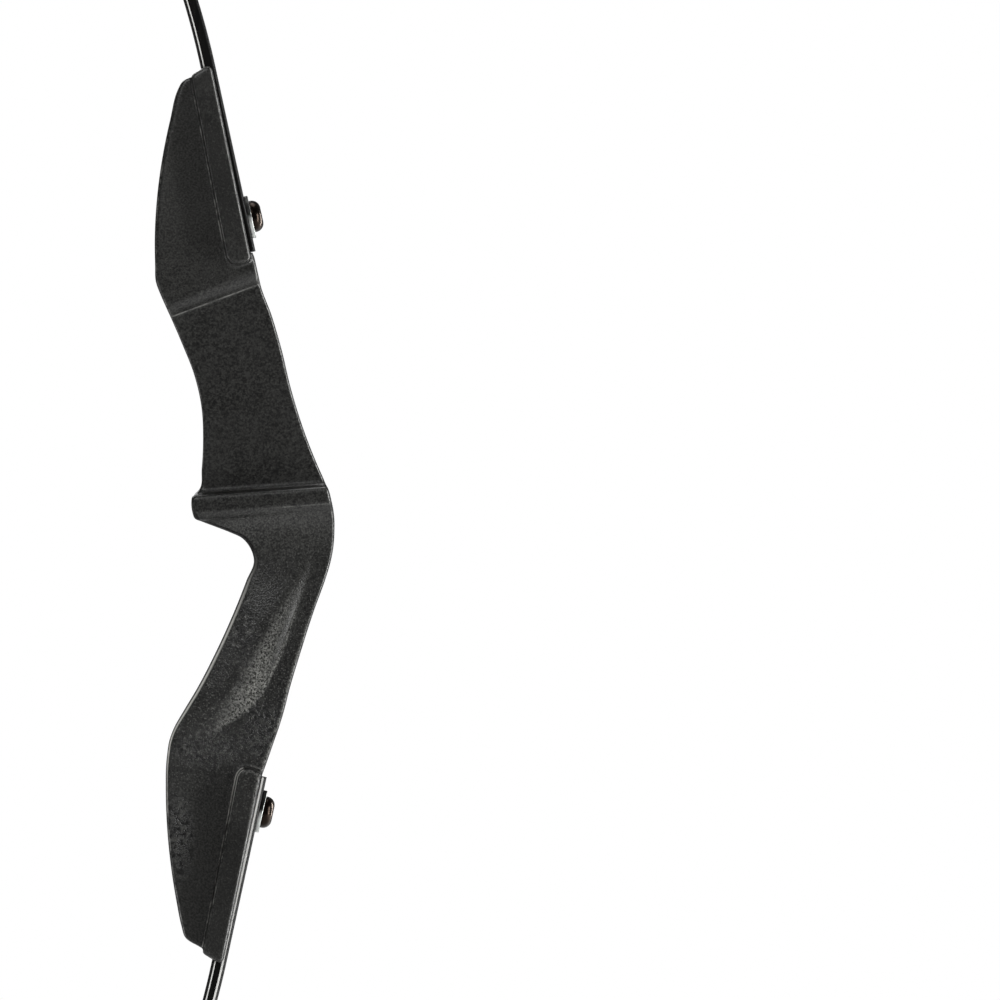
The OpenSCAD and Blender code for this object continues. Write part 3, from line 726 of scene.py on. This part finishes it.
RING_STEP, VOXEL = ((1.0, 0.0006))


def make_riser():
    bm = bmesh.new()
    skin_rings(bm, riser_rings(RING_STEP))
    band(bm, "upper")
    band(bm, "lower")
    riser = new_object("riser_moulding", bm)
    remesh = riser.modifiers.new("remesh", "REMESH")
    remesh.mode, remesh.use_smooth_shade = "VOXEL", True
    remesh.voxel_size = VOXEL
    softer = riser.modifiers.new("smooth", "SMOOTH")
    softer.factor, softer.iterations = 0.5, 3
    apply_modifiers(riser)
    cut(riser, [tool(end) for end in ("upper", "lower") for tool in (pocket_channel, bolt_bore)])
    smooth(riser, 40)
    return riser


# Limbs: each one continuous piece from its butt to its tip

def path_at(d):
    """The limb's back at a distance from the riser's end: out of the back, along the limb, and its lean."""
    n, u, t = 0.0, POCKET_LEN, 0.0
    if d < 0:
        return n, u + d, t
    for i, (length, turn) in enumerate(BENDS):
        q = d if i == len(BENDS) - 1 else min(d, length)
        if turn == 0:
            n, u = n - q * math.sin(t), u + q * math.cos(t)
        else:
            k = turn / length
            b = t + k * q
            n, u, t = n + (math.cos(b) - math.cos(t)) / k, u + (math.sin(b) - math.sin(t)) / k, b
        d -= q
        if d <= 0:
            break
    return n, u, t


def thick(d):
    if d <= 0:
        return LIMB_T
    if d < RECURVE_AT:
        return LIMB_T + (RECURVE_T - LIMB_T) * d / RECURVE_AT
    return RECURVE_T + TIP_GAIN * (d - RECURVE_AT) / (FREE_LEN - RECURVE_AT)


FADE_END, CURVE_START, REACH = (path_at(d)[1] for d in (FADE_LEN / 2, RECURVE_AT, FREE_LEN))


def half_width(d):
    """Full past the riser, then tapering to the recurve, then to the tip, which is round."""
    u = path_at(d)[1]
    if u < FADE_END:
        return LIMB_W / 2
    if u < CURVE_START:
        return (LIMB_W + (RECURVE_W - LIMB_W) * (u - FADE_END) / (CURVE_START - FADE_END)) / 2
    over = u - (REACH - TIP_W / 2)
    if over > 0:
        return math.sqrt(max(0.02, (TIP_W / 2) ** 2 - over ** 2))
    part = min(1, (u - CURVE_START) / (REACH - CURVE_START))
    return (RECURVE_W + (TIP_W - RECURVE_W) * math.sin(math.pi / 2 * part)) / 2


def limb_point(end, d, depth, y):
    n, u, t = path_at(d)
    return place(end, n - depth * math.cos(t), u - depth * math.sin(t), y)


# Places of a limb's materials, and the depth of the light line on its edge, from either face
GLASS_SKIN, LINE_SKIN, CORE_SKIN = 0, 1, 2
LINE_DEPTH = 1.75
# Rounding of a limb's edges: across the limb, and through its thickness
EDGE_ACROSS, EDGE_DROP = 1.5, {"upper": 0.62, "lower": 0.9}


def limb_ring(end, d):
    """Back, side, belly and other side. The edges are rounded, less on the belly."""
    w, t = half_width(d), thick(d)
    bevel, drop = min(EDGE_ACROSS, w * 0.35), min(EDGE_DROP[end], t * 0.2)
    line = t - LINE_DEPTH
    side = [(w - bevel * (1 - math.sin(a)), drop * (1 - math.cos(a))) for a in quarter(5)]
    # On the lower limb the light line starts next to the back, as a painted highlight
    first = GLASS_T if end == "upper" else LINE_DEPTH
    side += [(w, depth) for depth in (first, (GLASS_T + line) / 2, line, line + 0.5)]
    side += [(w - bevel * 0.6 * (1 - math.cos(a)), t - drop * (1 - math.sin(a))) for a in quarter(5)]
    across = [k / 4 for k in range(-3, 4)]
    back = [(x * (w - bevel), 0.0) for x in across]
    belly = [(x * (w - bevel * 0.6), t) for x in across[::-1]]
    ring = back + side + belly + [(-y, depth) for y, depth in side[::-1]]
    return [limb_point(end, d, depth, y) for y, depth in ring]


def limb_seam(end):
    """The lower limb also has its light line next to the back: a painted highlight where its back edge
    catches the light.
    """
    edge = GLASS_SKIN if end == "upper" else LINE_SKIN
    side = [GLASS_SKIN] * 5 + [edge, CORE_SKIN, CORE_SKIN, LINE_SKIN] + [GLASS_SKIN] * 6
    return [GLASS_SKIN] * 7 + side + [GLASS_SKIN] * 8 + side[::-1] + [GLASS_SKIN]


def nock_tools(end):
    """Two rods across the limb that cut the string's grooves, leaning by 25 degrees."""
    n, u, t = path_at(FREE_LEN - NOCK_FROM_END)
    a = t - math.radians(25)
    way = (place(end, n + math.cos(a) * 10, u + math.sin(a) * 10) - place(end, n, u)).normalized()
    rod = [(0, -20), (NOCK_D / 2, -20), (NOCK_D / 2, 20), (0, 20)]
    off = TIP_W / 2 + 0.4
    return [lathe(f"{end}_nock_{side}", rod, place(end, n, u, side * off), way, 24) for side in (-1, 1)]


def make_limb(end):
    """Rings at even stops, closer together round the tip."""
    stops = [-POCKET_LEN, -POCKET_LEN + 0.5] + [-POCKET_LEN + 3 * k for k in range(1, 28)]
    stops += [FREE_LEN * k / 150 for k in range(145)]
    tip = 16.0
    stops = [d for d in stops if d < FREE_LEN - tip]
    stops += [FREE_LEN - tip + tip * math.sin(math.pi / 2 * k / 14) for k in range(15)]
    bm = bmesh.new()
    skin_rings(bm, [limb_ring(end, d) for d in stops], limb_seam(end))
    limb = new_object(end + "_limb", bm)
    for material in (glass, light_line, core):
        limb.data.materials.append(material)
    rod = [(0, -9), (HOLE_D / 2, -9), (HOLE_D / 2, 3), (0, 3)]
    cut(limb, [lathe(end + "_hole", rod, place(end, 0, BOLT_FROM_BUTT), outward(end))] + nock_tools(end))
    smooth(limb, 32)
    return limb


def make_overlay(end):
    """The reinforcement on a tip's back, which climbs from nothing. Its edge is sunk in the limb."""
    start, climb, bead, sunk = FREE_LEN - OVERLAY_LEN, OVERLAY_LEN * 0.4, 0.9, 0.35
    stops = [start + OVERLAY_LEN * k / 60 for k in range(57)]
    stops += [FREE_LEN - 2.5 + 0.4 * k for k in range(1, 7)]
    rings = []
    for d in stops:
        w = half_width(d)
        lift = max(OVERLAY_T * math.sin(math.pi / 2 * min(1, (d - start) / climb)), 0.02)
        r = min(bead, lift * 0.6, w * 0.4)
        half = [(w, sunk)] + [(w - r * (1 - math.cos(a)), r * (1 - math.sin(a)) - lift) for a in quarter(6)]
        ring = half + [(-y, depth) for y, depth in half[::-1]]
        rings.append([limb_point(end, d, depth, y) for y, depth in ring])
    bm = bmesh.new()
    skin_rings(bm, rings)
    overlay = new_object(end + "_tip_overlay", bm)
    cut(overlay, nock_tools(end))
    smooth(overlay)
    return overlay


# Bolt and washer

def make_washer(end):
    ro, ri, t, r = WASHER_D / 2, HOLE_D / 2, WASHER_T, 0.3
    profile = (arc(ro - r, r, r, -90, 0) + arc(ro - r, t - r, r, 0, 90)
               + arc(ri + 0.25, t - 0.25, 0.25, 90, 180) + arc(ri + 0.2, 0.2, 0.2, 180, 270))
    washer = lathe(end + "_washer", profile, place(end, 0, BOLT_FROM_BUTT), outward(end), 96)
    smooth(washer)
    return washer


def bolt_head(end, base, axis):
    """A button head with a thin rim, a small flat top and a rounded lower edge."""
    rim, top_r, r = 0.6, HEAD_D * 0.23, HEAD_D / 2
    turns = [math.radians(a) for a in range(4, 91, 5)]
    dome = [(top_r + (r - top_r) * math.cos(a), rim + (HEAD_H - rim) * math.sin(a)) for a in turns]
    profile = [(0, 0), (r - 0.2, 0)] + arc(r - 0.2, 0.2, 0.2, -60, 0, 3) + [(r, rim)]
    profile += dome + [(2.5, HEAD_H - 0.02), (0, HEAD_H - 0.02)]
    return lathe(end + "_limb_bolt", profile, base, axis, 96)


def socket_tool(end, base, axis):
    """The hex socket with a coned bottom and a chamfered mouth."""
    x = Vector((0, 1, 0))
    y = axis.cross(x)
    r = SOCKET_AF / math.cos(math.radians(30)) / 2
    levels = [
        (r * 0.5, HEAD_H - SOCKET_DEPTH - 0.35),
        (r, HEAD_H - SOCKET_DEPTH),
        (r, HEAD_H - 0.12),
        (r + 0.5, HEAD_H + 0.38),
    ]
    corners = [math.radians(60 * k + 12) for k in range(6)]
    rings = [[base + (x * math.cos(a) * out + y * math.sin(a) * out + axis * h) / 1000 for a in corners]
             for out, h in levels]
    bm = bmesh.new()
    skin_rings(bm, rings)
    return new_object("socket_" + end, bm)


def bolt_shank(end, base, axis):
    """The threaded shank, with a plain neck under the head and a chamfered end."""
    deep, chamfer, nose, narrow, plain, sunk = 0.62, 0.6, 0.3, 0.9, 0.4, 0.3

    def thread(a, h):
        turn = ((-h / BOLT_PITCH) - a / (2 * math.pi)) % 1.0
        threaded = -BOLT_LEN < h <= -plain
        return -deep * abs(turn - 0.5) * 2 if threaded else 0

    r = BOLT_D / 2
    steps = int(BOLT_LEN / BOLT_PITCH * (10))
    profile = [(0, -BOLT_LEN), (r - narrow, -BOLT_LEN)]
    for k in range(steps + 1):
        up = -BOLT_LEN + nose + (BOLT_LEN - nose) * k / steps
        profile.append((r - max(0, chamfer - chamfer * k / 6), up))
    profile += [(r, sunk), (0, sunk)]
    return lathe(end + "_shank", profile, base, axis, 40, thread)


def make_bolt(end):
    base, axis = place(end, WASHER_T, BOLT_FROM_BUTT), outward(end)
    head = bolt_head(end, base, axis)
    cut(head, [socket_tool(end, base, axis)])
    shank = bolt_shank(end, base, axis)
    bpy.ops.object.select_all(action="DESELECT")
    head.select_set(True)
    shank.select_set(True)
    bpy.context.view_layer.objects.active = head
    bpy.ops.object.join()
    smooth(head, 32)
    return head


# The pieces and the CAD bodies that they move with

nylon = riser_material()
glass = limb_material("limb_glass", (0.005, 0.005, 0.0047), 0.36, (0.01, 0.0096, 0.009), 0.4)
core = limb_material("limb_core", (0.002, 0.002, 0.002), 0.45, (0.005, 0.0048, 0.0045), 0.12)
light_line = limb_material("limb_line", (0.8, 0.8, 0.77), 0.4, (0.92, 0.92, 0.89))
tip_black = limb_material("tip_overlay", (0.012, 0.012, 0.012), 0.28, (0.018, 0.018, 0.018))
# The zinc gets painted shade on its faces turned up and a painted reflection on those turned down; the steel
# gets painted shade on both
zinc = metal_material("zinc", (0.5, 0.515, 0.5), (0.66, 0.68, 0.66), 0.42, rim=(0.1, 1.6))
steel = metal_material("bolt_steel", (0.035, 0.026, 0.021), (0.085, 0.068, 0.055), 0.22,
                       420, 0.25, (0.6, 0.6))
brass = metal_material("insert_brass", (0.58, 0.4, 0.16), (0.7, 0.5, 0.22), 0.35)

riser = make_riser()
coat(riser, nylon)
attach(riser, "riser")
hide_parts("riser")

for end in ("upper", "lower"):
    limb = make_limb(end)
    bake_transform(limb)
    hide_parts(*(end + "_limb_" + part for part in ("butt", "back_glass", "core", "belly_glass")))

    tip = make_overlay(end)
    coat(tip, tip_black)
    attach(tip, end + "_limb_blade")
    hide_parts(end + "_limb_tip_overlay")

    washer = make_washer(end)
    coat(washer, zinc)
    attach(washer, end + "_washer")
    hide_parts(end + "_bolt_washer")

    bolt = make_bolt(end)
    coat(bolt, steel)
    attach(bolt, end + "_bolt")
    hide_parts(end + "_limb_bolt")

    coat(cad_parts[end + "_threaded_insert"], brass)

# Studio, in metres

FLOOR_Z, FLOOR_HALF = -0.64, 2.2
CAMERA_AWAY, PICTURE_W, SENSOR_W = 8.0, 0.44, 36
PICTURE_MIDDLE = (0.1082, 0.0264)


def make_floor():
    """Nearly white to the camera, whiter with distance, with a soft shadow."""
    grid = bmesh.new()
    bmesh.ops.create_grid(grid, x_segments=2, y_segments=2, size=FLOOR_HALF)
    floor = new_object("floor", grid)
    floor.location = (0, 0, FLOOR_Z)
    m = Shading("floor", (0.86, 0.86, 0.86), 0.7)
    m.locate()
    m.finish(m.mix(m.noise(3, 3, 0.55), (0.85, 0.85, 0.85), (0.88, 0.88, 0.875)), 0.7)
    glow = m.node("Emission")
    m.put(glow.inputs["Color"], (1, 1, 1))
    seen = m.node("LightPath").outputs["Is Camera Ray"]
    away = m.plus(m.times(m.x, m.x), m.times(m.y, m.y))
    both = m.node("MixShader")
    m.put(both.inputs[0], m.times(seen, m.ramp(away, 0.3e6, 3.5e6, 0.85, 1)))
    m.put(both.inputs[1], m.shader.outputs[0])
    m.put(both.inputs[2], glow.outputs[0])
    output = next(n for n in m.tree.nodes if n.type == "OUTPUT_MATERIAL")
    m.put(output.inputs[0], both.outputs[0])
    coat(floor, m.material)
    return floor


def make_world():
    """White to the camera and a faint light on the bow."""
    world = bpy.data.worlds.new("studio")
    world.use_nodes = True
    nodes, links = world.node_tree.nodes, world.node_tree.links
    seen = nodes.new("ShaderNodeLightPath")
    strength = nodes.new("ShaderNodeMix")
    strength.data_type = "FLOAT"
    strength.inputs[2].default_value, strength.inputs[3].default_value = 0.1, 1.0
    links.new(seen.outputs["Is Camera Ray"], strength.inputs[0])
    links.new(strength.outputs[0], nodes["Background"].inputs["Strength"])
    nodes["Background"].inputs["Color"].default_value = (1, 1, 1, 1)
    return world


def area(name, at, target, size, power):
    light = bpy.data.lights.new(name, "AREA")
    light.shape, light.size, light.size_y, light.energy = "RECTANGLE", *size, power
    obj = bpy.data.objects.new(name, light)
    bpy.context.scene.collection.objects.link(obj)
    obj.location = at
    obj.rotation_mode = "QUATERNION"
    obj.rotation_quaternion = (Vector(target) - Vector(at)).to_track_quat("-Z", "Y")


scene = bpy.context.scene
scene.world = make_world()
make_floor()

for side in (-1, 1):
    area(f"high_{side}", (-0.7, 1.5 * side, 1.1), (0, 0, 0.05), (0.8, 0.8), 10)
    area(f"low_{side}", (-0.3, 1.5 * side, -1.0), (0, 0, 0), (1.2, 0.7), 10)
    area(f"target_{side}", (1.5, 0.8 * side, 0.0), (0, 0, 0), (0.25, 1.3), 22)
area("archer", (-1.5, 0, -0.4), (0, 0, 0), (0.7, 0.5), 3)
area("top", (0.1, 0.2, 1.5), (0, 0, 0), (0.8, 0.8), 8)

# The camera looks along +Y at the photograph's left view, from far enough to be nearly flat
camera = bpy.data.cameras.new("camera")
camera.sensor_width = SENSOR_W
camera.lens = SENSOR_W * CAMERA_AWAY / PICTURE_W
camera.clip_end = 100
scene.camera = bpy.data.objects.new("camera", camera)
scene.collection.objects.link(scene.camera)
scene.camera.location = (PICTURE_MIDDLE[0], -CAMERA_AWAY, PICTURE_MIDDLE[1])
scene.camera.rotation_euler = (math.radians(90), 0, 0)

scene.view_settings.view_transform = "Standard"
